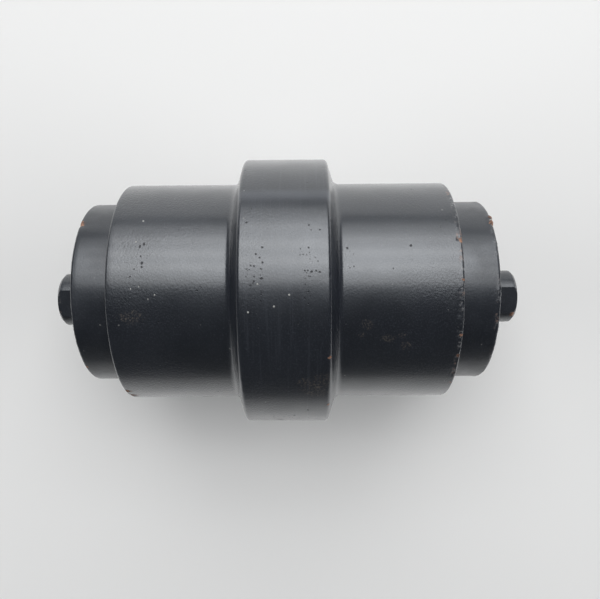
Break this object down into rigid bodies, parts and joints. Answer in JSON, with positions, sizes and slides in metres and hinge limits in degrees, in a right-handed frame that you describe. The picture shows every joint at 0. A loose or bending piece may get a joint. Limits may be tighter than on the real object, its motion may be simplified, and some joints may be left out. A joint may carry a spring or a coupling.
{
  "type": "track roller",
  "caption": "Centre-flange track roller: a turning shell between end collars pinned to an eccentric, flatted shaft that bolts to the track frame.",
  "frame": {"origin": "centre of the roller: on the axis it turns about, midway between the two shaft ends", "axes": "+Y along the axis it turns about; the shaft's key flats face +Z and -Z; its eccentric ends are offset towards +X"},
  "size_m": [0.132, 0.23, 0.132],
  "materials": {
    "shell_paint": "satin",
    "collar_paint": "satin",
    "shaft_steel": "satin",
    "plug_steel": "machined",
    "pin_steel": "blackened",
    "bush_bronze": "machined bronze",
    "washer_bronze": "machined bronze",
    "seal_iron": "lapped",
    "rubber": "matte"
  },
  "bodies": {
    "axle": {"left_end_collar": "collar_paint", "left_fixed_seal_ring": "seal_iron", "left_fixed_toric": "rubber", "left_lock_pin": "pin_steel", "left_shaft_o_ring": "rubber", "oil_plug": "plug_steel", "right_end_collar": "collar_paint", "right_fixed_seal_ring": "seal_iron", "right_fixed_toric": "rubber", "right_lock_pin": "pin_steel", "right_shaft_o_ring": "rubber", "shaft": "shaft_steel"},
    "roller": {"left_bush": "bush_bronze", "left_thrust_washer": "washer_bronze", "left_turning_seal_ring": "seal_iron", "left_turning_toric": "rubber", "right_bush": "bush_bronze", "right_thrust_washer": "washer_bronze", "right_turning_seal_ring": "seal_iron", "right_turning_toric": "rubber", "roller_shell": "shell_paint"}
  },
  "joints": [
    {"name": "roller_spin", "type": "hinge", "parent": "axle", "child": "roller", "pos_m": [0, 0, 0], "axis": [0, 1, 0], "continuous": true}
  ]
}
